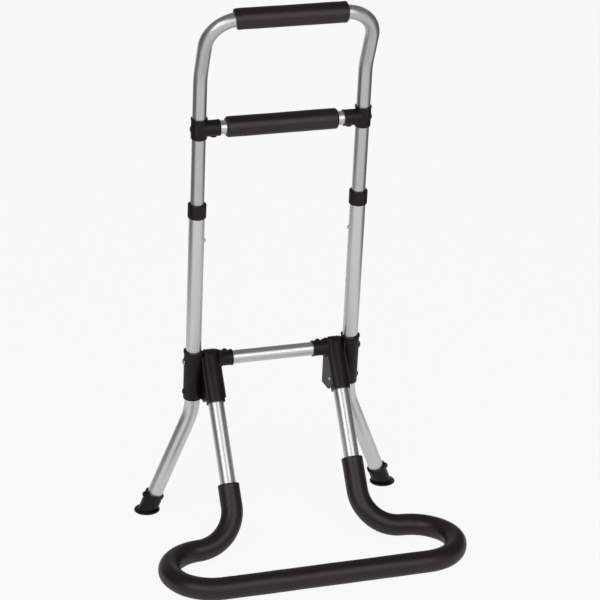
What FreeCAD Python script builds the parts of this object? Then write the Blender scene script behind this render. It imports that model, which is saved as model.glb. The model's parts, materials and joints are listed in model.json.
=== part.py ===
"""Couch standing aid: two leaning uprights with a sliding handle, and a folding
front frame that ends in a padded floor loop.

Millimetres. +Z is up, the floor is z = 0, the user and the floor loop are on the
-Y side, and the origin is the middle of the footprint's bounding box. Paired
pieces are built on the right (+X) and mirrored to the left.
"""
import FreeCAD, Part
import math
import os

V = FreeCAD.Vector

# The hub: the front frame turns on this line, which the cross tube shares.
PIVOT_Y, PIVOT_Z = 138.25, 274.5
LEAN = 7.11
LEG_LEAN = 33.44

# Tubes: the lower upright and the floor loop are one stock, the rest another.
LOWER_R, LOWER_WALL = 12.7, 1.5
UPPER_R, UPPER_WALL = 11.1, 1.2
FIT = 0.05
RUN = 0.1

# Uprights and rear legs, as heights along the leaning upright from the pivot.
# The holes are counted down from the lower tube's top, which the collar caps.
UPRIGHT_X = 134.4
LOWER_TOP = 281.4
REAR_BEND, REAR_BEND_R = -90.9, 110.7
FOOT_X, FOOT_REACH = 208.3, -276.6
REAR_TUBE_SHARE = 0.95
HOLE_DOWN, HOLE_PITCH, HOLE_COUNT, HOLE_IN_USE = 31.4, 32.0, 5, 1
COLLAR_BELOW, COLLAR_ABOVE, COLLAR_R = 21.2, 2.4, 15.0

# Handle. The bar rises and comes forward from the bend above each upright, and
# the tee reaches below and above the grip.
HANDLE_FOOT, HANDLE_BEND, HANDLE_BEND_R = 110.0, 499.0, 73.0
BAR_RISE, BAR_FORWARD, BAR_CORNER_R = 106.9, 39.9, 52.0
GRIP_HEIGHT = 412.0
TEE_BELOW, TEE_ABOVE, TEE_R, BRANCH_END = 16.2, 18.0, 13.0, 101.5
TEE_BOSS_X = 111.0
GRIP_TUBE_END = 117.0
FOAM_R = 16.6
TOP_FOAM, TOP_FOAM_EASE = (-92.8, 85.0), 3.0
GRIP_FOAM, GRIP_FOAM_EASE = (-91.6, 91.6), 4.6

# Front frame: legs, then a loop that lies on the floor on its foam.
LEG_X = 107.0
LEG_TUBE_START = 11.5
LOOP_FOAM_R = 17.7
LOOP_SIDE = (267.2, -40.65)
LOOP_FRONT = (213.2, -174.25)
LOOP_RADII = (66.8, 68.7, 66.2)
LOOP_FOAM_START = {"right": 188.4, "left": 208.4}

# Hub bracket and leg sleeve.
SLEEVE_R, SLEEVE_BOTTOM, SLEEVE_TOP = 15.5, -67.2, 19.6
SLEEVE_FLAT_X = 120.6
CHEEK = 2.3
CHEEK_GAP = (93.3, 120.6)
CHEEK_BACK, CHEEK_FRONT, CHEEK_BOTTOM, CHEEK_CORNER = 6.0, -10.5, 67.0, -68.0
LEG_SLEEVE_R, LEG_SLEEVE_BOTTOM, DOME_R = 17.3, 73.8, 9.0
LEG_FLATS = (93.5, 120.5)
BRANCH_R, HUB_BRANCH_END, CROSS_DEPTH = 12.9, 69.0, 19.5
SHOULDER_X, SHOULDER_R = 84.6, 16.4
LOCK_DOWN = 53.5
LOWER_SCREW = -55.5
CROSS_SCREW_X = 80.0

# Bolts and buttons.
BOLT_R, NUT_FLATS, NUT_THICK = 3.0, 10.0, 5.0
BUSH_R, BUSH_HALF = 5.0, 11.6
BOSS_X = 150.0
BUTTON_R, BUTTON_HOLE_R, BUTTON_PROUD = 3.2, 3.4, 2.5
CLIP_THICK = 0.6

# Rubber feet.
FOOT_R, FOOT_THICK, FOOT_SLEEVE_R, FOOT_SLEEVE_TOP = 21.5, 4.0, 15.5, 35.0

PIVOT = V(0, PIVOT_Y, PIVOT_Z)
UPRIGHT = FreeCAD.Placement(PIVOT, FreeCAD.Rotation(V(1, 0, 0), LEAN))
LEG = FreeCAD.Placement(PIVOT, FreeCAD.Rotation(V(1, 0, 0), -LEG_LEAN))
SPREAD = math.radians(LEAN + LEG_LEAN)
FAR = 1000.0  # beyond every piece, for cuts that run right through
LOOP_Z = LOOP_FOAM_R
LOOP_CORNER_Y = PIVOT_Y - (PIVOT_Z - LOOP_Z) * math.tan(math.radians(LEG_LEAN))
HOLES = [LOWER_TOP - HOLE_DOWN - HOLE_PITCH * i for i in range(HOLE_COUNT)]
BUTTON_HEIGHT = LOWER_TOP - HOLE_DOWN - HOLE_PITCH * HOLE_IN_USE
BAR_HEIGHT = HANDLE_BEND + BAR_RISE
TEE_BOTTOM, TEE_TOP = GRIP_HEIGHT - TEE_BELOW, GRIP_HEIGHT + TEE_ABOVE

os.makedirs("parts", exist_ok=True)


# %% Helpers

def placed(shape, placement):
    """The shape moved by a placement."""
    shape = shape.copy()
    shape.Placement = placement.multiply(shape.Placement)
    return shape


def rod(start, end, radius):
    """A round bar between two points."""
    run = end - start
    return Part.makeCylinder(radius, run.Length, start, run)


def across(x0, x1, radius, y=0.0, z=0.0):
    """A round bar along X."""
    return rod(V(x0, y, z), V(x1, y, z), radius)


def cone(x0, x1, radius0, radius1):
    """A round bar along X that widens from one radius to another."""
    return Part.makeCone(radius0, radius1, x1 - x0, V(x0, 0, 0), V(1, 0, 0))


def upright_rod(z0, z1, radius, x=UPRIGHT_X):
    """A round bar along Z."""
    return rod(V(x, 0, z0), V(x, 0, z1), radius)


def slab(x, y, z):
    """A box from three pairs of limits."""
    return Part.makeBox(x[1] - x[0], y[1] - y[0], z[1] - z[0], V(x[0], y[0], z[0]))


def ring(centre, normal, outer, inner):
    """A flat disc with a round hole, or a full disc when inner is 0."""
    face = Part.Face(Part.Wire(Part.makeCircle(outer, centre, normal)))
    if inner:
        hole = Part.Face(Part.Wire(Part.makeCircle(inner, centre, normal)))
        face = face.cut(hole)
    return face


def bends(points, radii):
    """Start, end, centre, axis and angle of the bend at each inner corner."""
    found = []
    for before, corner, after, radius in zip(points, points[1:], points[2:], radii):
        inward = (corner - before).normalize()
        outward = (after - corner).normalize()
        angle = inward.getAngle(outward)
        reach = radius * math.tan(angle / 2)
        axis = inward.cross(outward).normalize()
        start = corner - inward * reach
        centre = start + axis.cross(inward) * radius
        found.append((start, corner + outward * reach, centre, axis, angle))
    return found


def pipe(points, radii, outer, inner=0.0):
    """A round pipe along straight runs joined by bends."""
    pieces = []
    at = points[0]
    for start, end, centre, axis, angle in bends(points, radii):
        if (start - at).Length > 1e-6:
            pieces.append(ring(at, start - at, outer, inner).extrude(start - at))
        section = ring(start, axis.cross(start - centre), outer, inner)
        pieces.append(section.revolve(centre, axis, math.degrees(angle)))
        at = end
    pieces.append(ring(at, points[-1] - at, outer, inner).extrude(points[-1] - at))
    solids = [p if p.ShapeType == "Solid" else p.Solids[0] for p in pieces]
    return solids[0].multiFuse(solids[1:]).removeSplitter().Solids[0]


def outline(points, radius):
    """A closed flat face with its corners rounded."""
    middle = (points[-1] + points[0]) * 0.5
    loop = [middle] + points + [middle]
    edges = []
    at = middle
    for start, end, centre, axis, angle in bends(loop, [radius] * len(points)):
        top = centre + (start + end - centre * 2).normalize() * radius
        edges.append(Part.makeLine(at, start))
        edges.append(Part.Arc(start, top, end).toShape())
        at = end
    edges.append(Part.makeLine(at, middle))
    return Part.Face(Part.Wire(edges))


def lathe(profile, centre=V(0, 0, 0)):
    """A solid turned about Z from radius and height pairs."""
    points = [centre + V(r, 0, z) for r, z in profile]
    face = Part.Face(Part.makePolygon(points + points[:1]))
    return face.revolve(centre, V(0, 0, 1), 360)


def aimed(shape, at, direction):
    """A shape built along +Z from the origin, turned to a direction and moved."""
    turn = FreeCAD.Rotation(V(0, 0, 1), direction)
    return placed(shape, FreeCAD.Placement(at, turn))


def eased(shape, radius, wanted):
    """The shape with the round edges that wanted() picks rounded off."""
    edges = [e for e in shape.Edges if hasattr(e.Curve, "Radius") and wanted(e)]
    return shape.makeFillet(radius, edges)


def screw(head_r, head_h, shank_r, length, recess=0.0):
    """A domed screw with its head on z = 0 and its shank below.

    A recess is the width across the flats of a six-sided socket; without one
    the head has a cross slot.
    """
    head = lathe([(0, 0), (head_r, 0), (head_r, head_h * 0.4),
                  (head_r * 0.72, head_h * 0.88), (0, head_h)])
    if recess:
        socket = Part.Face(hexagon(recess)).extrude(V(0, 0, head_h))
    else:
        arm = head_r * 0.55
        socket = slab((-arm, arm), (-0.5, 0.5), (0, head_h))
        socket = socket.fuse(slab((-0.5, 0.5), (-arm, arm), (0, head_h)))
    socket.translate(V(0, 0, head_h * 0.45))
    shank = Part.makeCylinder(shank_r, length, V(0, 0, -length))
    return head.cut(socket).fuse(shank).removeSplitter()


def hexagon(flats):
    """A six-sided outline about the origin, given its width across flats."""
    corner = flats / math.sqrt(3)
    turns = [math.radians(60 * i) for i in range(7)]
    return Part.makePolygon([V(corner * math.cos(t), corner * math.sin(t), 0) for t in turns])


def save(name, shape):
    """Write one piece."""
    shape.exportStep(f"parts/{name}.step")


def save_pair(name, shape):
    """Write a right-hand piece and its mirror image."""
    save(f"{name}_right", shape)
    save(f"{name}_left", shape.mirror(V(0, 0, 0), V(1, 0, 0)))


# %% Uprights, which run down into the rear legs

def rear_leg_line():
    """Top, bend corner and floor contact of the right upright's centre line."""
    return V(UPRIGHT_X, 0, LOWER_TOP), V(UPRIGHT_X, 0, REAR_BEND), V(FOOT_X, 0, FOOT_REACH)


def upright_tube():
    top, corner, floor = rear_leg_line()
    end = corner + (floor - corner) * REAR_TUBE_SHARE
    tube = pipe([top, corner, end], [REAR_BEND_R], LOWER_R, LOWER_R - LOWER_WALL)
    inside, outside = UPRIGHT_X - 2 * LOWER_R, UPRIGHT_X + 2 * LOWER_R
    for height in HOLES:
        tube = tube.cut(across(inside, UPRIGHT_X, BUTTON_HOLE_R, z=height))
    tube = tube.cut(across(inside, outside, BUSH_R + FIT))
    tube = tube.cut(across(UPRIGHT_X, outside, 2.0, z=LOWER_SCREW))
    return placed(tube, UPRIGHT)


def foot_axis():
    """Floor contact and upward direction of the rear leg, in the part's frame."""
    top, corner, floor = (UPRIGHT.multVec(p) for p in rear_leg_line())
    return V(floor.x, floor.y, 0), (corner - floor).normalize()


def foot_screw_place():
    """Where the foot's screw sits: on the outer side near the sleeve's top."""
    floor, up = foot_axis()
    outward = (V(1, 0, 0) - up * up.x).normalize()
    return floor + up * (FOOT_SLEEVE_TOP - 6.5), outward


def foot():
    floor, up = foot_axis()
    top, corner, contact = rear_leg_line()
    tube_end = (contact - corner).Length * (1 - REAR_TUBE_SHARE)
    disc = lathe([(0, 0), (FOOT_R - 1.2, 0), (FOOT_R, 1.2), (FOOT_R, FOOT_THICK - 1.2),
                  (FOOT_R - 1.2, FOOT_THICK), (0, FOOT_THICK)], floor)
    sleeve = rod(floor - up * 20, floor + up * FOOT_SLEEVE_TOP, FOOT_SLEEVE_R)
    lip = rod(floor + up * (FOOT_SLEEVE_TOP - 3.0), floor + up * FOOT_SLEEVE_TOP, FOOT_SLEEVE_R + 0.9)
    at, outward = foot_screw_place()
    lug = rod(at, at + outward * (FOOT_SLEEVE_R + 2.5), 4.6)
    body = disc.fuse([sleeve, lip, lug]).removeSplitter()
    body = body.common(slab((0, FAR), (0, FAR), (0, FAR)))
    body = body.cut(rod(floor + up * tube_end, floor + up * FAR, LOWER_R + FIT))
    body = body.cut(rod(at, at + outward * FAR, 1.6))
    for radius in (8.0, 13.0, 18.0):
        tread = lathe([(radius - 0.8, 0), (radius + 0.8, 0), (radius + 0.8, 0.8),
                       (radius - 0.8, 0.8)], floor)
        body = body.cut(tread)
    return body


def foot_screw():
    at, outward = foot_screw_place()
    seat = at + outward * (FOOT_SLEEVE_R + 2.5)
    return aimed(screw(3.0, 1.6, 1.6, FOOT_SLEEVE_R + 2.5 - LOWER_R - FIT), seat, outward)


def collar():
    low, high, radius = LOWER_TOP - COLLAR_BELOW, LOWER_TOP + COLLAR_ABOVE, COLLAR_R
    body = lathe([(LOWER_R + FIT, low), (radius - 0.9, low), (radius, low + 1.4),
                  (radius, high - 1.2), (radius - 0.6, high - 0.2), (radius - 1.2, high),
                  (radius - 2.2, high - 0.9), (UPPER_R + RUN, high - 1.2),
                  (UPPER_R + RUN, LOWER_TOP), (LOWER_R + FIT, LOWER_TOP)])
    body.translate(V(UPRIGHT_X, 0, 0))
    return placed(body, UPRIGHT)


# %% Hub bracket on each upright

def beside_leg(down, back, x):
    """A point in the upright's frame, given along and behind the leg's line."""
    y = back * math.cos(SPREAD) - down * math.sin(SPREAD)
    z = -back * math.sin(SPREAD) - down * math.cos(SPREAD)
    return V(x, y, z)


def cheek(x, tall):
    """One side plate of the bracket, rounded over the pivot when it is tall."""
    top = 15.0 if tall else -8.0
    front = -17.0 if tall else 0.0
    corners = [V(x, CHEEK_BACK, top), V(x, CHEEK_BACK, CHEEK_CORNER),
               beside_leg(CHEEK_BOTTOM, 19.5, x), beside_leg(CHEEK_BOTTOM, CHEEK_FRONT, x),
               beside_leg(front, CHEEK_FRONT, x)]
    plate = outline(corners, 2.0).extrude(V(CHEEK, 0, 0))
    return plate.fuse(across(x, x + CHEEK, 15.0)) if tall else plate


def bracket():
    sleeve = upright_rod(SLEEVE_BOTTOM, SLEEVE_TOP, SLEEVE_R)
    rim = upright_rod(SLEEVE_TOP - 2.6, SLEEVE_TOP, SLEEVE_R + 0.9)
    wall = slab((CHEEK_GAP[0] - CHEEK, CHEEK_GAP[1] + CHEEK), (3.7, CHEEK_BACK), (SLEEVE_BOTTOM + 4, -24))
    outer_side = sleeve.fuse(rim).common(slab((SLEEVE_FLAT_X, FAR), (-FAR, FAR), (-FAR, FAR)))
    inner = cheek(CHEEK_GAP[0] - CHEEK, False)
    inner = inner.cut(across(HUB_BRANCH_END, LEG_X, SHOULDER_R + 0.8))
    body = outer_side.fuse([cheek(CHEEK_GAP[1], True), inner, wall])
    for height, radius in ((0.0, 6.5), (LOWER_SCREW, 5.5)):
        body = body.fuse(across(UPRIGHT_X + 8, BOSS_X, radius, z=height))
    body = body.cut(upright_rod(SLEEVE_BOTTOM - 5, SLEEVE_TOP + 5, LOWER_R + FIT))
    mouth = lathe([(0, SLEEVE_TOP - 1.4), (LOWER_R + FIT, SLEEVE_TOP - 1.4),
                   (SLEEVE_R - 1.1, SLEEVE_TOP), (0, SLEEVE_TOP)])
    mouth.translate(V(UPRIGHT_X, 0, 0))
    body = body.cut(mouth)
    body = body.cut(across(SLEEVE_FLAT_X - 5, BOSS_X + 5, BOLT_R + RUN))
    body = body.cut(across(UPRIGHT_X, BOSS_X + 5, 2.0, z=LOWER_SCREW))
    lock = beside_leg(LOCK_DOWN, 0, 0)
    body = body.cut(across(HUB_BRANCH_END, LEG_X, 4.0, lock.y, lock.z))
    return placed(body.removeSplitter().Solids[0], UPRIGHT)


def bracket_screw():
    seat = V(BOSS_X, 0, LOWER_SCREW)
    return placed(aimed(screw(4.2, 1.9, 1.95, 8.0), seat, V(1, 0, 0)), UPRIGHT)


def pivot_bush():
    tube = across(UPRIGHT_X - BUSH_HALF, UPRIGHT_X + BUSH_HALF, BUSH_R)
    return placed(tube.cut(across(LEG_X, BOSS_X, BOLT_R + FIT)), UPRIGHT)


# %% Leg sleeve, bolt and cross tube, which turn with the front frame

def leg_sleeve():
    """The leg's socket, domed over the pivot, with a branch for the cross tube."""
    inner, outer = LEG_FLATS
    column = upright_rod(-LEG_SLEEVE_BOTTOM, LEG_SLEEVE_R, LEG_SLEEVE_R, LEG_X)
    skirt = slab((0, FAR), (-FAR, FAR), (-FAR, 0))
    column = column.common(skirt.fuse(across(0, FAR, LEG_SLEEVE_R)))
    corners = (inner, LEG_SLEEVE_R), (outer, LEG_SLEEVE_R), (outer, -FAR), (inner, -FAR)
    front = outline([V(x, -FAR, z) for x, z in corners], DOME_R)
    column = column.common(front.extrude(V(0, 2 * FAR, 0)))
    branch = across(HUB_BRANCH_END, inner + 4, BRANCH_R)
    shoulder = cone(SHOULDER_X, inner + 0.6, BRANCH_R, SHOULDER_R)
    rim = across(HUB_BRANCH_END, HUB_BRANCH_END + 2.2, BRANCH_R + 0.7)
    boss = rod(V(CROSS_SCREW_X, 0, 0), V(CROSS_SCREW_X, 0, BRANCH_R + 1.2), 4.2)
    body = column.fuse([branch, shoulder, rim, boss]).removeSplitter()
    body = body.cut(upright_rod(-FAR, -LEG_TUBE_START, LOWER_R + FIT, LEG_X))
    body = body.cut(across(0, HUB_BRANCH_END + CROSS_DEPTH, UPPER_R + FIT))
    pocket = Part.Face(hexagon(NUT_FLATS + 0.1)).extrude(V(0, 0, 12))
    body = body.cut(aimed(pocket, V(HUB_BRANCH_END + CROSS_DEPTH - 2, 0, 0), V(1, 0, 0)))
    body = body.cut(across(HUB_BRANCH_END, FAR, BOLT_R + FIT))
    body = body.cut(rod(V(CROSS_SCREW_X, 0, 0), V(CROSS_SCREW_X, 0, FAR), 1.7))
    body = body.cut(across(HUB_BRANCH_END, LEG_X, 3.7, z=-LOCK_DOWN))
    return placed(body.removeSplitter().Solids[0], LEG)


def pivot_bolt():
    tip = HUB_BRANCH_END + CROSS_DEPTH + 3
    bolt = screw(5.6, 2.4, BOLT_R, BOSS_X + RUN - tip, 4.0)
    return placed(aimed(bolt, V(BOSS_X + RUN, 0, 0), V(1, 0, 0)), LEG)


def pivot_nut():
    nut = Part.Face(hexagon(NUT_FLATS)).extrude(V(0, 0, NUT_THICK))
    nut = nut.cut(Part.makeCylinder(BOLT_R, NUT_THICK))
    return placed(aimed(nut, V(LEG_FLATS[0], 0, 0), V(1, 0, 0)), LEG)


def cross_tube():
    half = HUB_BRANCH_END + CROSS_DEPTH - 0.5
    tube = across(-half, half, UPPER_R).cut(across(-half, half, UPPER_R - UPPER_WALL))
    for x in (-CROSS_SCREW_X, CROSS_SCREW_X):
        tube = tube.cut(rod(V(x, 0, 0), V(x, 0, 2 * UPPER_R), 1.7))
    return placed(tube, LEG)


def cross_screw():
    seat = V(CROSS_SCREW_X, 0, BRANCH_R + 1.2)
    return placed(aimed(screw(3.2, 1.6, 1.65, 6.5), seat, V(0, 0, 1)), LEG)


# %% Front frame: two legs and the floor loop

def loop_line(start_right, start_left):
    """The loop's centre line, from one leg to the other, and its bend radii."""
    slope = V(0, -math.sin(math.radians(LEG_LEAN)), -math.cos(math.radians(LEG_LEAN)))
    right = PIVOT + slope * start_right + V(LEG_X, 0, 0)
    left = PIVOT + slope * start_left - V(LEG_X, 0, 0)
    corners = [(LEG_X, LOOP_CORNER_Y), LOOP_SIDE, LOOP_FRONT]
    half = [V(x, y, LOOP_Z) for x, y in corners]
    other = [V(-p.x, p.y, p.z) for p in reversed(half)]
    return [right] + half + other + [left], list(LOOP_RADII) + list(reversed(LOOP_RADII))


def front_loop_tube():
    points, radii = loop_line(LEG_TUBE_START + 0.3, LEG_TUBE_START + 0.3)
    tube = pipe(points, radii, LOWER_R, LOWER_R - LOWER_WALL)
    for side in (1, -1):
        hole = across(side * (LEG_X - 2 * LOWER_R), side * LEG_X, BUTTON_HOLE_R, z=-LOCK_DOWN)
        tube = tube.cut(placed(hole, LEG))
    return tube


def loop_foam():
    points, radii = loop_line(LOOP_FOAM_START["right"], LOOP_FOAM_START["left"])
    foam = pipe(points, radii, LOOP_FOAM_R, LOWER_R + FIT)
    ends = points[0], points[-1]
    return eased(foam, 2.4, lambda e: e.Curve.Radius > LOWER_R + 1
                 and min((e.Curve.Center - p).Length for p in ends) < 0.1)


# %% Handle

def handle_line():
    """The handle's centre line, from right foot to left foot, and its bend radii."""
    half = [V(UPRIGHT_X, 0, HANDLE_FOOT), V(UPRIGHT_X, 0, HANDLE_BEND),
            V(UPRIGHT_X, -BAR_FORWARD, BAR_HEIGHT)]
    radii = [HANDLE_BEND_R, BAR_CORNER_R, BAR_CORNER_R, HANDLE_BEND_R]
    return half + [V(-p.x, p.y, p.z) for p in reversed(half)], radii


def handle_tube():
    tube = pipe(*handle_line(), UPPER_R, UPPER_R - UPPER_WALL)
    for side in (1, -1):
        inward = side * (UPRIGHT_X - 2 * UPPER_R)
        outward = side * (UPRIGHT_X + 2 * UPPER_R)
        tube = tube.cut(across(inward, side * UPRIGHT_X, BUTTON_HOLE_R, z=BUTTON_HEIGHT))
        tube = tube.cut(across(side * UPRIGHT_X, outward, 1.8, z=GRIP_HEIGHT))
    return placed(tube, UPRIGHT)


def lower_foam():
    """The lower sleeve, with rounded ends."""
    foam = across(*GRIP_FOAM, FOAM_R, z=GRIP_HEIGHT)
    foam = foam.cut(across(*GRIP_FOAM, UPPER_R + FIT, z=GRIP_HEIGHT))
    foam = eased(foam, GRIP_FOAM_EASE, lambda e: e.Curve.Radius > UPPER_R + 1)
    return placed(foam, UPRIGHT)


def top_foam():
    """The top sleeve, which runs a little way round both of the bar's corners."""
    right_corner, left_corner = bends(*handle_line())[1:3]
    straight = right_corner[1], left_corner[0]
    section = ring(straight[0], V(1, 0, 0), FOAM_R, UPPER_R + FIT)
    foam = section.extrude(straight[1] - straight[0])
    for at, corner, reach in zip(straight, (right_corner, left_corner), reversed(TOP_FOAM)):
        centre, axis = corner[2:4]
        turn = math.asin((at.x - reach) / BAR_CORNER_R)
        section = ring(at, V(1, 0, 0), FOAM_R, UPPER_R + FIT)
        foam = foam.fuse(section.revolve(centre, axis, math.degrees(turn)))
    foam = eased(foam.removeSplitter(), TOP_FOAM_EASE, lambda e: e.Curve.Radius > UPPER_R + 1
                 and abs(e.Curve.Center.x) > straight[0].x + 0.5)
    return placed(foam, UPRIGHT)


def tee():
    sleeve = lathe([(0, TEE_BOTTOM), (TEE_R - 0.9, TEE_BOTTOM), (TEE_R, TEE_BOTTOM + 1.2),
                    (TEE_R, TEE_TOP), (0, TEE_TOP)], V(UPRIGHT_X, 0, 0))
    branch = across(BRANCH_END, UPRIGHT_X, TEE_R, z=GRIP_HEIGHT)
    under = V(TEE_BOSS_X, 0, GRIP_HEIGHT)
    rims = [upright_rod(TEE_TOP - 2.0, TEE_TOP, TEE_R + 0.5),
            across(BRANCH_END, BRANCH_END + 2.0, TEE_R + 0.3, z=GRIP_HEIGHT),
            across(UPRIGHT_X, UPRIGHT_X + TEE_R + 0.4, 5.5, z=GRIP_HEIGHT),
            rod(under, under - V(0, 0, TEE_R + 1.2), 5.2)]
    body = sleeve.fuse([branch] + rims).removeSplitter()
    body = body.cut(upright_rod(TEE_BOTTOM - 5, TEE_TOP + 5, UPPER_R + FIT))
    body = body.cut(across(BRANCH_END - 5, GRIP_TUBE_END + 0.4, UPPER_R + FIT, z=GRIP_HEIGHT))
    body = body.cut(across(UPRIGHT_X, UPRIGHT_X + 2 * TEE_R, 1.8, z=GRIP_HEIGHT))
    body = body.cut(rod(under, under - V(0, 0, 2 * TEE_R), 1.6))
    return placed(body, UPRIGHT)


def tee_screw():
    seat = V(UPRIGHT_X + TEE_R + 0.4, 0, GRIP_HEIGHT)
    return placed(aimed(screw(3.8, 1.3, 1.75, 6.5), seat, V(1, 0, 0)), UPRIGHT)


def grip_screw():
    seat = V(TEE_BOSS_X, 0, GRIP_HEIGHT - TEE_R - 1.2)
    return placed(aimed(screw(3.0, 0.9, 1.55, 6.0), seat, V(0, 0, -1)), UPRIGHT)


def grip_tube():
    end = GRIP_TUBE_END
    tube = across(-end, end, UPPER_R, z=GRIP_HEIGHT)
    tube = tube.cut(across(-end, end, UPPER_R - UPPER_WALL, z=GRIP_HEIGHT))
    for side in (1, -1):
        under = V(side * TEE_BOSS_X, 0, GRIP_HEIGHT)
        tube = tube.cut(rod(under, under - V(0, 0, 2 * UPPER_R), 1.6))
        for x in (93.6, 96.2, 98.8):
            band = across(side * x, side * (x + 1.1), UPPER_R + 1, z=GRIP_HEIGHT)
            band = band.cut(across(side * x, side * (x + 1.1), UPPER_R - 0.35, z=GRIP_HEIGHT))
            tube = tube.cut(band)
    return placed(tube, UPRIGHT)


# %% Snap clips: a folded spring strip with the button on its free arm

def snap_clip(bore, tip):
    """A clip about the tube's centre line, with its button towards -X at z = 0."""
    near = -bore + 0.9 + CLIP_THICK / 2
    middle = [(near, -6), (near, 6), (-2.0, 33), (0, 35.2), (2.0, 33), (-near - 4.6, -6)]
    line = [V(x, 0, z) for x, z in middle]
    sides = []
    for sign in (1, -1):
        side = []
        for i, point in enumerate(line):
            runs = [(line[j + 1] - line[j]).normalize() for j in (i - 1, i) if 0 <= j < len(line) - 1]
            normals = [V(-run.z, 0, run.x) for run in runs]
            total = sum(normals[1:], normals[0])
            total = total * (1 / total.dot(normals[0]))
            side.append(point + total * (sign * CLIP_THICK / 2))
        sides.append(side)
    loop = sides[0] + sides[1][::-1]
    strip = Part.Face(Part.makePolygon(loop + loop[:1])).extrude(V(0, 8, 0))
    strip.translate(V(0, -4, 0))
    button = eased(across(near, tip, BUTTON_R), 1.4, lambda e: abs(e.Curve.Center.x - tip) < 0.01)
    return strip.fuse(button).removeSplitter().Solids[0]


def height_clip():
    clip = snap_clip(UPPER_R - UPPER_WALL, -LOWER_R - BUTTON_PROUD)
    clip.translate(V(UPRIGHT_X, 0, BUTTON_HEIGHT))
    return placed(clip, UPRIGHT)


def lock_clip():
    clip = snap_clip(LOWER_R - LOWER_WALL, CHEEK_GAP[0] - CHEEK - 1.4 - LEG_X)
    clip.rotate(V(0, 0, 0), V(1, 0, 0), 180)
    clip.translate(V(LEG_X, 0, -LOCK_DOWN))
    return placed(clip, LEG)


# %% Write every piece

PAIRS = {
    "upright_tube": upright_tube, "rear_foot": foot, "foot_screw": foot_screw,
    "height_collar": collar, "hub_bracket": bracket, "bracket_screw": bracket_screw,
    "pivot_bush": pivot_bush, "leg_sleeve": leg_sleeve, "pivot_bolt": pivot_bolt,
    "pivot_nut": pivot_nut, "cross_screw": cross_screw, "grip_tee": tee,
    "tee_screw": tee_screw, "grip_screw": grip_screw, "height_snap_clip": height_clip,
    "lock_snap_clip": lock_clip,
}

for piece, build in PAIRS.items():
    save_pair(piece, build())
save("cross_tube", cross_tube())
save("front_loop_tube", front_loop_tube())
save("loop_foam", loop_foam())
save("handle_tube", handle_tube())
save("lower_grip_tube", grip_tube())
save("lower_grip_foam", lower_foam())
save("top_grip_foam", top_foam())
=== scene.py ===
# %% [markdown]
# A couch standing aid in satin aluminium and black foam.
#
# The real object is two leaning uprights that carry a sliding handle, and a
# front frame that folds about a cross tube and ends in a padded loop on the
# floor. The metal tubes, the moulded joints and the screws come in as a fixed
# frame of parts. What is made here is everything that a hand or an eye meets
# first: the foam sleeves, the softened edges of the mouldings, and the finish
# of each material.

# %% Load the frame
import bmesh
import bpy
import json
import math
import numpy as np
from mathutils import Matrix, Vector

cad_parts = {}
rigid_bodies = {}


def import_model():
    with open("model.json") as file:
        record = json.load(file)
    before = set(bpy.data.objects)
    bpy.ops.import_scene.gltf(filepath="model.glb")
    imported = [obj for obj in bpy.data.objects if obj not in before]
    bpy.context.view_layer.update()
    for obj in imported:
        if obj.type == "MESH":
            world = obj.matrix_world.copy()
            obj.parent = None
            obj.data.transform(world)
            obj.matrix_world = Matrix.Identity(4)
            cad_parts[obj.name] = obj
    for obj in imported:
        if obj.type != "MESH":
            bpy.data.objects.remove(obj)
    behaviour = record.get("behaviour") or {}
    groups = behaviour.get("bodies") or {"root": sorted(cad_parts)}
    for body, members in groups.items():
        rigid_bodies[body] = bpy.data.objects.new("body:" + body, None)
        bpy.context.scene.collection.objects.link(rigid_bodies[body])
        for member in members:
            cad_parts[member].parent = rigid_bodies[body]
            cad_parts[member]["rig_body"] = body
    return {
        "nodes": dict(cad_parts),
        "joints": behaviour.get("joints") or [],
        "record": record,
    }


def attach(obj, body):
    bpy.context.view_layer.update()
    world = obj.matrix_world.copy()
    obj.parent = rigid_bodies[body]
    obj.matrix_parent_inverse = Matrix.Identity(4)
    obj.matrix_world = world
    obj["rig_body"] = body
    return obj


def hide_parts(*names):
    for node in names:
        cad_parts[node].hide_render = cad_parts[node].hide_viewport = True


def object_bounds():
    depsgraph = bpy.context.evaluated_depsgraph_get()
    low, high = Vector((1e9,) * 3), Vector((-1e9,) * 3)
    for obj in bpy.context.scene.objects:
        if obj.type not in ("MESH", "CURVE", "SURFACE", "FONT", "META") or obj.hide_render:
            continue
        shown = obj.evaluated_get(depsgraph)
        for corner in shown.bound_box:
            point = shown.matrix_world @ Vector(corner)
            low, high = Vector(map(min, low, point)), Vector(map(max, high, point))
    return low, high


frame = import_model()
frame_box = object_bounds()
nodes = frame["nodes"]
slots = {row["node"]: row["material_slot"] for row in frame["record"]["subparts"]}
joints = {joint["name"]: joint for joint in frame["joints"]}
print(f"frame: {len(nodes)} nodes, top at {frame_box[1].z:.3f} m")

# %% [markdown]
# The camera stands where the photographer stood. A pinhole camera is fully
# known from its place, three angles and its focal length in pixels, and a lens
# on a 36 mm sensor turns pixels into millimetres by 36 / picture width.
# This is a long lens from far away, so parallel tubes stay nearly parallel.

# %% Camera
PICTURE = 600
SENSOR_WIDTH = 36.0
FOCAL_PIXELS = 2433.25
CAMERA_PLACE = (-1.0507, -3.4505, 1.7493)
CAMERA_SWING, CAMERA_RISE, CAMERA_ROLL = (math.radians(a) for a in (-17.0171, 20.2805, 0.3646))


def camera_axes(swing, rise, roll):
    """Right, up and backward directions of a camera.

    Backward is (sin s cos e, -cos s cos e, sin e) for a swing s and a rise e.
    Right is level before the roll turns right and up about backward.
    """
    back = Vector((math.sin(swing) * math.cos(rise), -math.cos(swing) * math.cos(rise), math.sin(rise)))
    level = Vector((math.cos(swing), math.sin(swing), 0))
    rising = back.cross(level)
    right = level * math.cos(roll) + rising * math.sin(roll)
    return right, back.cross(right), back


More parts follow.
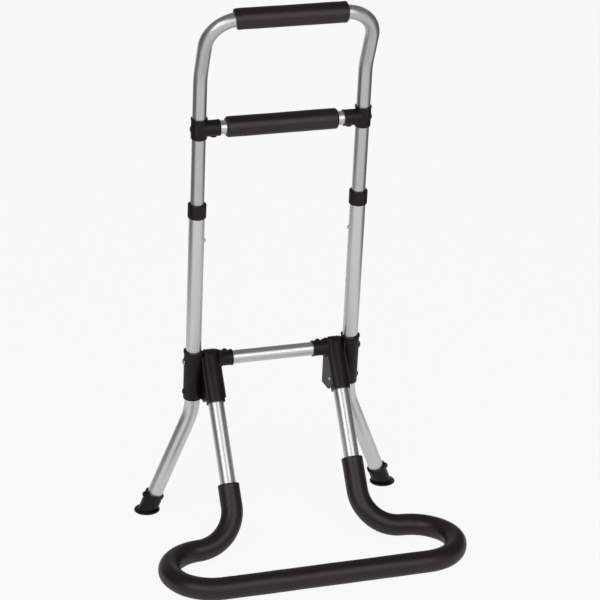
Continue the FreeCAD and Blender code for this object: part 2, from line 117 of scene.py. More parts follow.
axes = camera_axes(CAMERA_SWING, CAMERA_RISE, CAMERA_ROLL)
camera = bpy.data.objects.new("camera", bpy.data.cameras.new("camera"))
bpy.context.scene.collection.objects.link(camera)
bpy.context.scene.camera = camera
camera.matrix_world = Matrix.Translation(CAMERA_PLACE) @ Matrix(axes).transposed().to_4x4()
camera.data.sensor_width = SENSOR_WIDTH
camera.data.lens = FOCAL_PIXELS * SENSOR_WIDTH / PICTURE
print(f"camera: {camera.data.lens:.1f} mm lens")

# %% [markdown]
# A material or a sky is a small tree of nodes: boxes whose outputs are wired to
# the inputs of others. Four short helpers keep the trees below readable: one
# empties a tree, one adds a box, one adds a sum, and one draws a wire.

# %% Node helpers
def link(tree, source, target):
    """Join two sockets of a node tree."""
    tree.links.new(source, target)


def node(tree, kind, **settings):
    """Add a shader node; settings that aren't its own properties go to its inputs."""
    made = tree.nodes.new(kind)
    for name, value in settings.items():
        if hasattr(made, name):
            setattr(made, name, value)
        else:
            made.inputs[name.replace("_", " ")].default_value = value
    return made


def math_node(tree, operation, first, second):
    """A Math node; its inputs are sockets or numbers."""
    made = node(tree, "ShaderNodeMath", operation=operation)
    for slot, value in zip(made.inputs, (first, second)):
        if isinstance(value, (int, float)):
            slot.default_value = value
        else:
            link(tree, value, slot)
    return made.outputs[0]


def new_tree(data):
    """The emptied node tree of a material or world."""
    data.use_nodes = True
    data.node_tree.nodes.clear()
    return data.node_tree


print("helpers: link, node, math_node, new_tree")

# %% [markdown]
# The floor is a wide disc of grey paper. More light would whiten it, but would
# also bleach the metal, so the Light Path node tells it who is looking: the
# camera sees it almost white, a reflection sees it half lit, and for shadows
# and bounced light it stays plain matt paper.

# %% Floor
FLOOR_RADIUS, RIM_POINTS = 14.0, 96
FLOOR_COLOUR = (0.50, 0.50, 0.50, 1)
LIFT_SEEN, LIFT_REFLECTED = 0.92, 0.34


def floor_material():
    """Matt grey, lifted to paper white for the camera and partly for reflections."""
    material = bpy.data.materials.new("floor_paper")
    tree = new_tree(material)
    paths = node(tree, "ShaderNodeLightPath").outputs
    seen = math_node(tree, "MAXIMUM", paths["Is Camera Ray"], paths["Is Transmission Ray"])
    seen = math_node(tree, "MULTIPLY", seen, LIFT_SEEN)
    reflected = math_node(tree, "MULTIPLY", paths["Is Glossy Ray"], LIFT_REFLECTED)
    mix = node(tree, "ShaderNodeMixShader")
    link(tree, math_node(tree, "MAXIMUM", seen, reflected), mix.inputs[0])
    link(tree, node(tree, "ShaderNodeBsdfDiffuse", Color=FLOOR_COLOUR).outputs[0], mix.inputs[1])
    link(tree, node(tree, "ShaderNodeEmission", Strength=1.0).outputs[0], mix.inputs[2])
    link(tree, mix.outputs[0], node(tree, "ShaderNodeOutputMaterial").inputs["Surface"])
    return material


def staged(name, data):
    """A stage object from mesh or lamp data."""
    made = bpy.data.objects.new(name, data)
    bpy.context.scene.collection.objects.link(made)
    return made


def flat_mesh(name, corners, material):
    """One polygon through its corners."""
    mesh = bpy.data.meshes.new(name)
    mesh.from_pydata([tuple(c) for c in corners], [], [tuple(range(len(corners)))])
    mesh.materials.append(material)
    return mesh


rim_turn = np.linspace(0, 2 * np.pi, RIM_POINTS, endpoint=False)
rim = np.stack([FLOOR_RADIUS * np.cos(rim_turn), FLOOR_RADIUS * np.sin(rim_turn), 0 * rim_turn], axis=1)
staged("floor", flat_mesh("floor", rim, floor_material()))
print(f"floor: a disc of {FLOOR_RADIUS} m radius")

# %% [markdown]
# The sky stands in for the walls of the studio. Metal shows whatever is round
# it, so the sky is paler near the horizon and dim overhead, which gives each
# tube a soft change of tone along its bends. The camera sees plain white paper.

# %% Sky
SKY_SEEN, SKY_LOW, SKY_HIGH = 0.95, 0.42, 0.17
SKY_LOW_UP_TO, SKY_HIGH_FROM = 0.12, 0.40


def sky():
    """Pale at the horizon and dim overhead, by the height of the direction; white to the camera."""
    world = bpy.data.worlds.new("studio")
    bpy.context.scene.world = world
    tree = new_tree(world)
    split = node(tree, "ShaderNodeSeparateXYZ")
    link(tree, node(tree, "ShaderNodeTexCoord").outputs["Generated"], split.inputs[0])
    level = node(tree, "ShaderNodeMapRange", interpolation_type="SMOOTHSTEP", From_Min=SKY_LOW_UP_TO,
                 From_Max=SKY_HIGH_FROM, To_Min=SKY_LOW, To_Max=SKY_HIGH)
    link(tree, split.outputs["Z"], level.inputs["Value"])
    seen = node(tree, "ShaderNodeLightPath").outputs["Is Camera Ray"]
    paper = math_node(tree, "MULTIPLY", seen, SKY_SEEN)
    background = node(tree, "ShaderNodeBackground")
    link(tree, math_node(tree, "MAXIMUM", level.outputs[0], paper), background.inputs["Color"])
    link(tree, background.outputs[0], node(tree, "ShaderNodeOutputWorld").inputs["Surface"])


sky()
print(f"sky: {SKY_LOW} at the horizon, {SKY_HIGH} overhead")

# %% [markdown]
# Two tall softboxes stand beside the camera and a small one in line with it. A
# satin cylinder shows a squeezed picture of the room round it, so the softboxes
# become the bright bands down each tube. A broad ceiling light fills the shadows
# and is kept out of reflections, where it would draw one more line on each tube.

# %% Lamps
SOFTBOXES = {
    "softbox_left": dict(swing=-51, rise=27, distance=2.9, width=1.9, height=2.3, power=17),
    "softbox_right": dict(swing=17, rise=27, distance=2.9, width=1.9, height=2.3, power=15),
    "softbox_camera": dict(swing=-17, rise=20, distance=3.1, width=1.0, height=0.8, power=4.6),
}
CEILING_STRENGTH, CEILING_SPREAD = 1.0, math.radians(50)
CEILING_TILT = (math.radians(28), math.radians(-8), 0)


def softbox(name, swing, rise, distance, width, height, power):
    """A rectangular lamp on a sphere about the object, facing its middle."""
    middle = (frame_box[0] + frame_box[1]) / 2
    right, up, back = camera_axes(math.radians(swing), math.radians(rise), 0)
    lamp = bpy.data.lights.new(name, "AREA")
    lamp.shape = "RECTANGLE"
    lamp.size, lamp.size_y, lamp.energy = width, height, power
    made = staged(name, lamp)
    facing = Matrix((right, up, back)).transposed().to_4x4()
    made.matrix_world = Matrix.Translation(middle + back * distance) @ facing


for name, size in SOFTBOXES.items():
    softbox(name, **size)

sun = bpy.data.lights.new("ceiling_light", "SUN")
sun.energy, sun.angle = CEILING_STRENGTH, CEILING_SPREAD
ceiling_light = staged("ceiling_light", sun)
ceiling_light.rotation_euler = CEILING_TILT
ceiling_light.visible_glossy = False
print(f"lamps: {len(SOFTBOXES)} softboxes and a ceiling light")

# %% [markdown]
# Dark cards at the sides are an old trick for photographing metal. They become
# the dark lines along the edges of each tube, and without them a tube would
# fade into the pale floor. Only reflections see them.

# %% Cards
CARDS = {
    "card_left": dict(x=-0.95, y=(-0.20, 1.30), top=1.15),
    "card_right": dict(x=0.95, y=(-0.30, 1.30), top=1.15),
}
CARD_GREY = 0.12


def card_material():
    """An even dark grey that no lamp changes."""
    material = bpy.data.materials.new("card_paper")
    tree = new_tree(material)
    surface = node(tree, "ShaderNodeEmission", Color=(CARD_GREY, CARD_GREY, CARD_GREY, 1))
    link(tree, surface.outputs[0], node(tree, "ShaderNodeOutputMaterial").inputs["Surface"])
    return material


card_paper = card_material()
for name, card in CARDS.items():
    (front, back), x, top = card["y"], card["x"], card["top"]
    corners = [(x, front, 0.0), (x, back, 0.0), (x, back, top), (x, front, top)]
    made = staged(name, flat_mesh(name, corners, card_paper))
    made.visible_camera = made.visible_diffuse = made.visible_shadow = False
bpy.context.scene.view_settings.view_transform = "Standard"
print(f"cards: {len(CARDS)}")

# %% [markdown]
# Small node groups carry the fine detail. The first, `cloud`, is a slow change
# from place to place, as in any moulded or anodised surface. It works on Object
# coordinates, in metres, so its scale is a real size. A group is built once and
# each material that uses it sets its own size and amount.

# %% Cloud
GROUPS = {}


def group_tree(name, inputs, outputs):
    """A shader group with float inputs and outputs, and a Coordinates input."""
    tree = GROUPS[name] = bpy.data.node_groups.new(name, "ShaderNodeTree")
    tree.interface.new_socket("Coordinates", in_out="INPUT", socket_type="NodeSocketVector")
    for socket, default in inputs.items():
        made = tree.interface.new_socket(socket, in_out="INPUT", socket_type="NodeSocketFloat")
        made.default_value = default
    for socket in outputs:
        tree.interface.new_socket(socket, in_out="OUTPUT", socket_type="NodeSocketFloat")
    return tree, tree.nodes.new("NodeGroupInput").outputs, tree.nodes.new("NodeGroupOutput").inputs


def noise(tree, vector, size, detail, roughness=0.5):
    """Noise whose features are `size` metres wide, as a value from 0 to 1."""
    made = node(tree, "ShaderNodeTexNoise", Detail=detail, Roughness=roughness)
    link(tree, vector, made.inputs["Vector"])
    link(tree, math_node(tree, "DIVIDE", 1.0, size), made.inputs["Scale"])
    return made.outputs["Fac"]


def centred(tree, value, amount):
    """(value - 0.5) x amount."""
    return math_node(tree, "MULTIPLY", math_node(tree, "SUBTRACT", value, 0.5), amount)


def cloud_group():
    """A slow change about 0: three octaves of noise, `Size` metres wide."""
    tree, given, out = group_tree("cloud", {"Size": 0.05, "Amount": 0.1}, ["Value"])
    slow = noise(tree, given["Coordinates"], given["Size"], detail=3.0)
    link(tree, centred(tree, slow, given["Amount"]), out["Value"])


cloud_group()
print("groups:", ", ".join(GROUPS))

# %% [markdown]
# `grain` is the fine skin that a mould leaves on plastic, or that closed cells
# leave on foam. Fine noise gives its height, and a noise several times coarser
# makes some patches glossier than others, because real skins never shine evenly.

# %% Grain
GRAIN_PATCH = 9.0


def grain_group():
    """Moulded skin: fine noise for height, and a coarser one for gloss."""
    tree, given, out = group_tree("grain", {"Size": 0.0006, "Amount": 0.1}, ["Height", "Gloss"])
    link(tree, noise(tree, given["Coordinates"], given["Size"], detail=4.0, roughness=0.6), out["Height"])
    coarse = math_node(tree, "MULTIPLY", given["Size"], GRAIN_PATCH)
    patches = noise(tree, given["Coordinates"], coarse, detail=2.0)
    link(tree, centred(tree, patches, given["Amount"]), out["Gloss"])


grain_group()
print("groups:", ", ".join(GROUPS))

# %% [markdown]
# `drawn` is the faint set of lines that a die leaves along a drawn tube. It is
# the same noise, stretched far along one direction: the coordinates are squeezed
# along Z, and each material first turns them so that Z runs along its tube.

# %% Die lines
DRAWN_SQUEEZE, DRAWN_PATCH = 0.02, 3.0


def drawn_group():
    """Die lines: noise on coordinates squeezed to a fiftieth along Z."""
    tree, given, out = group_tree("drawn", {"Size": 0.0008, "Amount": 0.1}, ["Height", "Gloss"])
    squeeze = node(tree, "ShaderNodeVectorMath", operation="MULTIPLY")
    squeeze.inputs[1].default_value = (1.0, 1.0, DRAWN_SQUEEZE)
    link(tree, given["Coordinates"], squeeze.inputs[0])
    link(tree, noise(tree, squeeze.outputs[0], given["Size"], detail=3.0), out["Height"])
    coarse = math_node(tree, "MULTIPLY", given["Size"], DRAWN_PATCH)
    patches = noise(tree, squeeze.outputs[0], coarse, detail=2.0)
    link(tree, centred(tree, patches, given["Amount"]), out["Gloss"])


drawn_group()
print("groups:", ", ".join(GROUPS))

# %% [markdown]
# Every finish follows one recipe: a base colour that a cloud shifts a little, a
# roughness that grain or die lines shift a little, and a bump from the same
# pattern. Ten separate trees would do the same, but one function keeps them
# alike and lets each finish be read as a line of real values.

# %% Finish recipe
CLOUD_SIZE = 0.03


def place_group(tree, name, coordinates, **values):
    """Put a group into a material and feed it coordinates and values."""
    made = node(tree, "ShaderNodeGroup")
    made.node_tree = GROUPS[name]
    link(tree, coordinates, made.inputs["Coordinates"])
    for socket, value in values.items():
        made.inputs[socket].default_value = value
    return made.outputs


def turned(tree, coordinates, turn):
    """Object coordinates turned about X and Y, so that Z runs along a tube."""
    mapping = node(tree, "ShaderNodeMapping", vector_type="POINT")
    mapping.inputs["Rotation"].default_value = (*turn, 0)
    link(tree, coordinates, mapping.inputs["Vector"])
    return mapping.outputs[0]


def finish(name, colour, roughness, pattern, grain_size, bump, shift=0.10, gloss=0.10, turn=None,
           **shader_values):
    """A material: shifted base colour, shifted roughness and a bump, on one shader."""
    material = bpy.data.materials.new(name)
    tree = new_tree(material)
    shader = node(tree, "ShaderNodeBsdfPrincipled")
    for socket, value in shader_values.items():
        shader.inputs[socket.replace("_", " ")].default_value = value
    link(tree, shader.outputs[0], node(tree, "ShaderNodeOutputMaterial").inputs["Surface"])
    coordinates = node(tree, "ShaderNodeTexCoord").outputs["Object"]
    if turn:
        coordinates = turned(tree, coordinates, turn)
    cloud = place_group(tree, "cloud", coordinates, Size=CLOUD_SIZE, Amount=shift)
    fine = place_group(tree, pattern, coordinates, Size=grain_size, Amount=gloss)
    tint = node(tree, "ShaderNodeVectorMath", operation="SCALE")
    tint.inputs[0].default_value = colour
    link(tree, math_node(tree, "ADD", cloud["Value"], 1.0), tint.inputs["Scale"])
    link(tree, tint.outputs[0], shader.inputs["Base Color"])
    link(tree, math_node(tree, "ADD", fine["Gloss"], roughness), shader.inputs["Roughness"])
    relief = node(tree, "ShaderNodeBump", Strength=1.0, Distance=bump)
    link(tree, fine["Height"], relief.inputs["Height"])
    link(tree, relief.outputs[0], shader.inputs["Normal"])
    return material


print(f"recipe: a cloud {CLOUD_SIZE * 1000:.0f} mm wide, a fine pattern and a bump")

# %% [markdown]
# Anodised aluminium is all metal with a broad gloss. The tubes aren't all one
# brightness, and the difference is painted light on one aluminium: the handle is
# given a darker colour as painted shade, the uprights that it slides in a
# brighter one as painted light, and the front legs lie between. Each finish turns
# its die lines along its own tube. Zinc plate, on the bolts and the buttons, is
# brighter and smoother.

# %% Metal finishes
handle_axis = Vector(joints["handle_height"]["axis"])
LEAN = math.atan2(-handle_axis.y, handle_axis.z)
LEG_LEAN = math.radians(33.44)
ACROSS = math.pi / 2
DRAWN = dict(pattern="drawn", grain_size=0.0009, bump=0.00001, Metallic=1.0)
FINISHES = {
    # The handle's darker colour is painted shade and the uprights' brighter colour is painted light, both on
    # one aluminium.
    "tube_aluminium": finish("satin_tube_painted_shade", (0.765, 0.77, 0.775), 0.32, shift=0.06, turn=(-LEAN, 0), **DRAWN),
    "lower_tube": finish("satin_lower_tube_painted_light", (0.945, 0.95, 0.95), 0.32, shift=0.05, turn=(-LEAN, 0), **DRAWN),
    "front_tube_aluminium": finish("satin_leg_tube", (0.86, 0.865, 0.87), 0.30, shift=0.05,
                                   turn=(LEG_LEAN, 0), **DRAWN),
    "cross_tube": finish("satin_cross_tube", (0.86, 0.865, 0.87), 0.30, shift=0.05,
                         turn=(0, ACROSS), **DRAWN),
    "bright_steel": finish("zinc_plate", (0.72, 0.72, 0.73), 0.24, "grain", 0.0006, 0.00001, Metallic=1.0),
}
print(f"metal finishes: {len(FINISHES)}, uprights lean {math.degrees(LEAN):.2f} degrees")

# %% [markdown]
# Black plastic, foam and rubber are nearly the same colour, and what tells them
# apart is how they shine: the moulding is fine and even, the foam has coarser
# cells and a stronger, patchier gloss, and the rubber feet are smoother and
# dimmer. A slightly warm specular tint keeps the blacks from looking blue.

# %% Black and plain finishes
FINISHES.update({
    "black_moulding": finish("black_moulding", (0.0070, 0.0048, 0.0048), 0.38, "grain", 0.0007, 0.00004,
                             shift=0.25, Specular_IOR_Level=0.42, Specular_Tint=(1.0, 0.86, 0.87, 1)),
    "black_foam": finish("black_foam", (0.0060, 0.0042, 0.0036), 0.38, "grain", 0.0011, 0.00010, shift=0.25,
                         gloss=0.16, Specular_IOR_Level=0.72, Specular_Tint=(1.0, 0.90, 0.86, 1)),
    "foot_rubber": finish("foot_rubber", (0.0045, 0.0042, 0.0042), 0.30, "grain", 0.0009, 0.00004,
                          Specular_IOR_Level=0.36),
    "black_steel": finish("black_steel", (0.008, 0.0075, 0.0075), 0.28, "grain", 0.0005, 0.00002),
    "bush_plastic": finish("natural_nylon", (0.62, 0.60, 0.55), 0.45, "grain", 0.0008, 0.00003),
})
print(f"finishes: {len(FINISHES)}")

# %% [markdown]
# Each part of the frame takes the finish that its material slot names. Four
# tubes have a finish of their own: the uprights take the aluminium with painted
# light, brighter than the handle's painted shade, and the two tubes that lie
# across need die lines that run across.

# %% Dress the frame
OWN_FINISH = {"upright_tube_left": "lower_tube", "upright_tube_right": "lower_tube",
              "cross_tube": "cross_tube", "lower_grip_tube": "cross_tube"}


def dress(piece, slot):
    """Give a piece the finish of a material slot."""
    piece.data.materials.clear()
    piece.data.materials.append(FINISHES[slot])


for name, part in nodes.items():
    dress(part, OWN_FINISH.get(name, slots[name]))
print(f"dressed: {len(nodes)} nodes")

# %% [markdown]
# Injection-moulded corners are never knife-sharp, and the thin bright line on
# a rounded corner is what makes black plastic readable. A copy of each moulding
# is merged into one skin, its flat faces are joined, and a Bevel modifier
# rounds every edge that turns by more than a set angle.

# %% Softened mouldings
MOULDED = {"hub_bracket": 0.0007, "leg_sleeve": 0.0007, "grip_tee": 0.0005, "rear_foot": 0.0005}
SHARP, FLAT = math.radians(33), math.radians(0.4)
WELD = 2e-6
BEVEL_STEPS = 2


def added(name, mesh, body, slot):
    """A finished piece that rides on a body."""
    piece = bpy.data.objects.new(name, mesh)
    bpy.context.scene.collection.objects.link(piece)
    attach(piece, body)
    dress(piece, slot)
    return piece


def softened(name, radius):
    """A merged copy of a node whose sharp edges are rounded; it replaces the node."""
    source = nodes[name]
    skin = bmesh.new()
    skin.from_mesh(source.data)
    bmesh.ops.remove_doubles(skin, verts=skin.verts, dist=WELD)
    bmesh.ops.dissolve_limit(skin, angle_limit=FLAT, verts=skin.verts, edges=skin.edges)
    mesh = bpy.data.meshes.new(f"{name}_soft")
    skin.to_mesh(mesh)
    skin.free()
    mesh.shade_smooth()
    mesh.set_sharp_from_angle(angle=SHARP)
    piece = added(f"{name}_soft", mesh, source["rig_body"], slots[name])
    bevel = piece.modifiers.new("rounding", "BEVEL")
    bevel.width, bevel.segments = radius, BEVEL_STEPS
    bevel.limit_method, bevel.angle_limit = "ANGLE", SHARP
    bevel.harden_normals = True
    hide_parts(name)


for stem, radius in MOULDED.items():
    for side in ("left", "right"):
        softened(f"{stem}_{side}", radius)
print(f"softened: {2 * len(MOULDED)} mouldings")

# %% [markdown]
# A foam sleeve is a hose of soft rubber foam pushed over a tube. It could be a
# plain cylinder, but a real one follows the tube's bends, has rolled ends with
# a skin that turns in to the tube, and is never perfectly even. So a closed
# profile, out along the top and back along the bore, is carried along the
# tube's centre line and turned about it: a ring of points for every station.
#
# The centre line comes first. A bent tube is straight runs joined by arcs, so
# its corners and bend radii are enough to work out every station.

# %% Centre line
STATION = 0.001


def centre_line(corners, radii, step=STATION):
    """Points, directions and distances along straight runs joined by arcs.

    An arc of radius r that turns by t starts r tan(t / 2) before its corner. Its
    points are centre + r (-side cos a + along sin a), for a from 0 to t.
    """
    corners = np.asarray(corners, float)
    runs = np.diff(corners, axis=0)
    along = runs / np.linalg.norm(runs, axis=1)[:, None]
    points, directions = [], []
    at = corners[0]
    for i, radius in enumerate(radii):
        turn = math.acos(np.dot(along[i], along[i + 1]))
        reach = radius * math.tan(turn / 2)
        start = corners[i + 1] - along[i] * reach
        side = (along[i + 1] - along[i] * math.cos(turn)) / math.sin(turn)
        share = np.linspace(0, 1, max(2, int(np.linalg.norm(start - at) / step)), endpoint=False)
        points.append(at + share[:, None] * (start - at))
        directions.append(np.repeat(along[i][None], len(share), axis=0))
        angle = np.linspace(0, turn, max(2, int(radius * turn / step)), endpoint=False)[:, None]
        points.append(start + radius * (side * (1 - np.cos(angle)) + along[i] * np.sin(angle)))
        directions.append(along[i] * np.cos(angle) + side * np.sin(angle))
        at = corners[i + 1] + along[i + 1] * reach
    share = np.linspace(0, 1, max(2, int(np.linalg.norm(corners[-1] - at) / step)))
    points.append(at + share[:, None] * (corners[-1] - at))
    directions.append(np.repeat(along[-1][None], len(share), axis=0))
    points = np.concatenate(points)
    lengths = np.concatenate([[0], np.cumsum(np.linalg.norm(np.diff(points, axis=0), axis=1))])
    return points, np.concatenate(directions), lengths


print(f"centre line: a station every {STATION * 1000:.0f} mm")

# %% [markdown]
# The wall of a sleeve is cut through along the tube. The cut is one closed
# outline: over the rounded first edge, along the outside, over the last edge,
# down the end face, back along the bore and up the other face. A Solidify
# modifier could give the wall too, but not the rolled edges.

# %% Sleeve wall
EASE_POINTS, FACE_POINTS = 9, 4
BORE_STEPS = 3


def sleeve_profile(length, radius, bore, ease, step):
    """Distance along and radius from the line, once round a sleeve's wall.

    Near each end the radius falls by ease - sqrt(ease^2 - (ease - d)^2), where d
    is the distance from the end: a quarter of a circle.
    """
    corner = ease * (1 - np.cos(np.linspace(0, np.pi / 2, EASE_POINTS)))
    middle = np.linspace(ease, length - ease, max(3, int((length - 2 * ease) / step)))
    along = np.concatenate([corner, middle[1:-1], length - corner[::-1]])
    depth = np.clip(ease - np.minimum(along, length - along), 0, ease)
    outer = radius - ease + np.sqrt(ease ** 2 - depth ** 2)
    face = np.linspace(radius - ease, bore, FACE_POINTS)[1:]
    inner = np.linspace(length, 0, max(3, int(length / (BORE_STEPS * step))))[1:-1]
    walls = [(along, outer), (np.full(len(face), length), face), (inner, np.full(len(inner), bore)),
             (np.zeros(len(face)), face[::-1])]
    return np.concatenate([w[0] for w in walls]), np.concatenate([w[1] for w in walls])


print(f"sleeve wall: {EASE_POINTS} points round each rolled edge")

# %% [markdown]
# The outline and the turn make a grid of points that closes both ways, like a
# stretched ring. The grid goes into a mesh as whole arrays: every quad is a
# point, the next in its row, and the two below. A UV map in metres goes along,
# so that a pattern could follow the sleeve round its bends.

# %% Sleeve mesh
def closed_grid(name, points, across, around):
    """A mesh from a grid of points that closes both ways, with a UV map in metres."""
    rows, columns = points.shape[:2]
    row, column = np.meshgrid(np.arange(rows), np.arange(columns), indexing="ij")
    next_row, next_column = (row + 1) % rows, (column + 1) % columns
    quads = np.stack([row * columns + column, row * columns + next_column,
                      next_row * columns + next_column, next_row * columns + column], axis=-1)
    mesh = bpy.data.meshes.new(name)
    mesh.vertices.add(rows * columns)
    mesh.vertices.foreach_set("co", points.reshape(-1).astype(np.float32))
    mesh.loops.add(quads.size)
    mesh.loops.foreach_set("vertex_index", quads.reshape(-1).astype(np.int32))
    mesh.polygons.add(rows * columns)
    mesh.polygons.foreach_set("loop_start", np.arange(0, quads.size, 4, dtype=np.int32))
    reach = np.append(across, across[0])
    turn = np.append(around, around[0] + around[1] * columns)
    u = np.stack([turn[column], turn[column + 1], turn[column + 1], turn[column]], axis=-1)
    v = np.stack([reach[row], reach[row], reach[row + 1], reach[row + 1]], axis=-1)
    layer = mesh.uv_layers.new(name="sleeve")
    layer.data.foreach_set("uv", np.stack([u, v], axis=-1).reshape(-1).astype(np.float32))
    mesh.update()
    mesh.validate()
    mesh.shade_smooth()
    return mesh


print("sleeve mesh: quads that close along and around")

# %% [markdown]
# Where a foam hose is bent its skin wrinkles finely, on the inside and the
# outside of the bend and hardly at all between them. The creases could be a
# bump, but the outline would stay smooth, so they are made in the surface.

# %% Creases
CREASE_PITCH, CREASE_DEPTH = 0.0026, 0.00034
SQUEEZE_GAIN = 4
DRIFT_WAVES = ((1.1, 47, 2, 0), (0.8, 131, -1, 0))
PATCH_WAVES = ((0.8, 71, 3, 0),)


def waves(along, angle, table):
    """Sum of size x sin(rate s + turns a + phase) over the rows of a table."""
    return sum(size * np.sin(along[:, None] * rate + turns * angle + phase)
               for size, rate, turns, phase in table)


def creases(along, angle, lengths, directions, radius, normal, binormal):
    """How far each point sinks where the sleeve is bent and its foam bunches up.

    The bend at a station is the change of direction per metre, K. A point at
    angle a faces it by K.(N cos a + B sin a) x radius, the share by which the foam
    is squeezed there. Ripples of a steady pitch, sin(2 pi s / pitch) with a slow
    drift in phase, grow with the size of that share and sink inwards only.
    """
    bend = np.gradient(directions, lengths, axis=0)
    bend = np.stack([np.interp(along, lengths, bend[:, i]) for i in range(3)], axis=1)
    up_share = (bend * normal).sum(axis=1)[:, None] * np.cos(angle)
    side_share = (bend * binormal).sum(axis=1)[:, None] * np.sin(angle)
    squeeze = np.clip(np.abs(up_share + side_share) * radius * SQUEEZE_GAIN, 0, 1)
    drift = waves(along, angle, DRIFT_WAVES)
    ripple = 0.5 + 0.5 * np.sin(2 * np.pi * along[:, None] / CREASE_PITCH + drift)
    patches = np.clip(0.5 + waves(along, angle, PATCH_WAVES), 0, 1)
    return CREASE_DEPTH * squeeze * patches * ripple ** 3


print(f"creases: {CREASE_PITCH * 1000:.1f} mm apart, up to {CREASE_DEPTH * 1000:.2f} mm deep")

# %% [markdown]
# Now the sleeve itself: the outline is carried along the centre line and turned
# about it. Three slow waves keep it from being perfectly round, and its ends
# flare a little, as cut foam does when it is pushed over a tube.

# %% Sleeve
UNEVEN_WAVES = ((1, 61, 2, 0), (1, 37, -3, 1.3), (0.6, 143, 1, 0))
FLARE_LENGTH = 0.0022


def sleeve(name, line, radius, bore, ease, body, replaced, unevenness=0.00012, flare=0.0, ring=72,
           step=0.004):
    """A foam sleeve along a centre line.

    A point is P(s) + r (N cos a + B sin a), where N is the upward direction made
    square to the line and B = T x N. Slow waves change r by the unevenness, a
    flare widens the last few millimetres by flare x exp(-d / length), and creases
    sink it where the line bends.
    """
    points, directions, lengths = line
    along, reach = sleeve_profile(lengths[-1], radius, bore, ease, step)
    place = np.stack([np.interp(along, lengths, points[:, i]) for i in range(3)], axis=1)
    heading = np.stack([np.interp(along, lengths, directions[:, i]) for i in range(3)], axis=1)
    heading /= np.linalg.norm(heading, axis=1)[:, None]
    normal = np.array([0, 0, 1.0]) - heading * heading[:, 2:3]
    normal /= np.linalg.norm(normal, axis=1)[:, None]
    binormal = np.cross(heading, normal)
    angle = np.linspace(0, 2 * np.pi, ring, endpoint=False)
    wave = waves(along, angle, UNEVEN_WAVES)
    outside = np.where(reach > (bore + radius) / 2, 1.0, 0.0)[:, None]
    from_end = np.minimum(along, lengths[-1] - along)[:, None]
    sink = creases(along, angle, lengths, directions, radius, normal, binormal)
    r = reach[:, None] + outside * (unevenness * wave / 2 + flare * np.exp(-from_end / FLARE_LENGTH) - sink)
    grid = (place[:, None] + r[..., None] * (normal[:, None] * np.cos(angle)[None, :, None]
                                             + binormal[:, None] * np.sin(angle)[None, :, None]))
    mesh = closed_grid(name, grid, along, angle * radius)
    piece = added(name, mesh, body, slots[replaced])
    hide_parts(replaced)
    print(f"{name}: {lengths[-1]:.3f} m long, {len(mesh.polygons)} faces")


print(f"sleeve: ends flare over {FLARE_LENGTH * 1000:.1f} mm")

# %% [markdown]
# The lower grip is straight, and sits on the handle between the tees. Its place
# comes from the leaning frame of the uprights: x across, y back and z up along
# the tube from the fold's pivot.

# %% Lower grip sleeve
PIVOT = np.array(joints["fold"]["pos_m"])
TUBE_R, THIN_TUBE_R = 0.0127, 0.0111
BORE_GAP = 0.00005
GRIP_FOAM_R, GRIP_FOAM_EASE = 0.0166, 0.0046
GRIP_HEIGHT, GRIP_HALF = 0.4120, 0.0916


def leaning(x, y, z):
    """A place in the uprights' leaning frame, in the object's frame."""
    back, up = y * math.cos(LEAN) - z * math.sin(LEAN), y * math.sin(LEAN) + z * math.cos(LEAN)
    return PIVOT + np.array([x, back, up])


grip_ends = [leaning(-GRIP_HALF, 0, GRIP_HEIGHT), leaning(GRIP_HALF, 0, GRIP_HEIGHT)]
sleeve("lower_grip_sleeve", centre_line(grip_ends, []), GRIP_FOAM_R, THIN_TUBE_R + BORE_GAP, GRIP_FOAM_EASE,
       "handle", "lower_grip_foam")

# %% [markdown]
# The top sleeve runs a little way round the bar's corners, further on the left.
# So the bar's whole centre line is worked out and then trimmed: an end that
# lies beyond the straight run by a reach x has gone asin(x / radius) round.

# %% Top grip sleeve
BAR_HEIGHT, BAR_FORWARD, BAR_CORNER_R = 0.6059, 0.0399, 0.052
UPRIGHT_X, HANDLE_BEND = 0.1344, 0.499
TOP_LEFT, TOP_RIGHT = 0.0928, 0.0850
TOP_FOAM_EASE, TOP_FLARE = 0.0030, 0.0005


def trimmed(line, start, end):
    """The part of a centre line between two distances, measured from 0."""
    points, directions, lengths = line
    kept = (lengths > start) & (lengths < end)
    cut = [np.stack([np.interp([start, end], lengths, data[:, i]) for i in range(3)], axis=1)
           for data in (points, directions)]
    joined = [np.vstack([c[:1], data[kept], c[1:]]) for c, data in zip(cut, (points, directions))]
    return joined[0], joined[1], np.concatenate([[0], lengths[kept] - start, [end - start]])


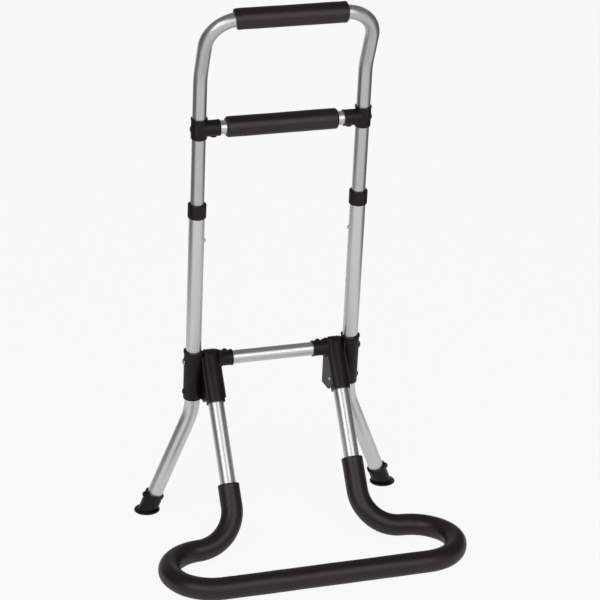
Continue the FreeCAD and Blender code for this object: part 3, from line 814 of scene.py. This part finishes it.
bar = [leaning(x, y, z) for x, y, z in (
    (-UPRIGHT_X, 0, HANDLE_BEND), (-UPRIGHT_X, -BAR_FORWARD, BAR_HEIGHT),
    (UPRIGHT_X, -BAR_FORWARD, BAR_HEIGHT), (UPRIGHT_X, 0, HANDLE_BEND))]
bar_line = centre_line(bar, [BAR_CORNER_R, BAR_CORNER_R])
straight = UPRIGHT_X - BAR_CORNER_R
middle = bar_line[2][-1] / 2
left_end, right_end = (straight + BAR_CORNER_R * math.asin((reach - straight) / BAR_CORNER_R)
                       for reach in (TOP_LEFT, TOP_RIGHT))
sleeve("top_grip_sleeve", trimmed(bar_line, middle - left_end, middle + right_end), GRIP_FOAM_R,
       THIN_TUBE_R + BORE_GAP, TOP_FOAM_EASE, "handle", "top_grip_foam", flare=TOP_FLARE)

# %% [markdown]
# The floor loop is one long sleeve from leg to leg. It comes down each leg,
# turns out flat on the floor, sweeps forward round the corners and closes
# across the front. Its steps are finer than those of the grips, because its
# bends are creased: about three stations to each crease.

# %% Loop sleeve
LOOP_FOAM_R, LOOP_EASE, LOOP_FLARE = 0.0177, 0.0024, 0.0004
LEG_X = 0.107
LOOP_SIDE, LOOP_FRONT = (0.2672, -0.04065), (0.2132, -0.17425)
LOOP_RADII = [0.0668, 0.0687, 0.0662]
LOOP_START_RIGHT, LOOP_START_LEFT = 0.1884, 0.2084

down_leg = np.array([0, -math.sin(LEG_LEAN), -math.cos(LEG_LEAN)])
floor_corner_y = PIVOT[1] - (PIVOT[2] - LOOP_FOAM_R) * math.tan(LEG_LEAN)
half_loop = [np.array([x, y, LOOP_FOAM_R]) for x, y in ((LEG_X, floor_corner_y), LOOP_SIDE, LOOP_FRONT)]
loop = ([PIVOT + down_leg * LOOP_START_RIGHT + (LEG_X, 0, 0)] + half_loop
        + [p * (-1, 1, 1) for p in reversed(half_loop)]
        + [PIVOT + down_leg * LOOP_START_LEFT - (LEG_X, 0, 0)])
sleeve("loop_sleeve", centre_line(loop, LOOP_RADII + LOOP_RADII[::-1]), LOOP_FOAM_R, TUBE_R + BORE_GAP,
       LOOP_EASE, "front_frame", "loop_foam", unevenness=0.00015, flare=LOOP_FLARE, ring=60, step=0.0009)
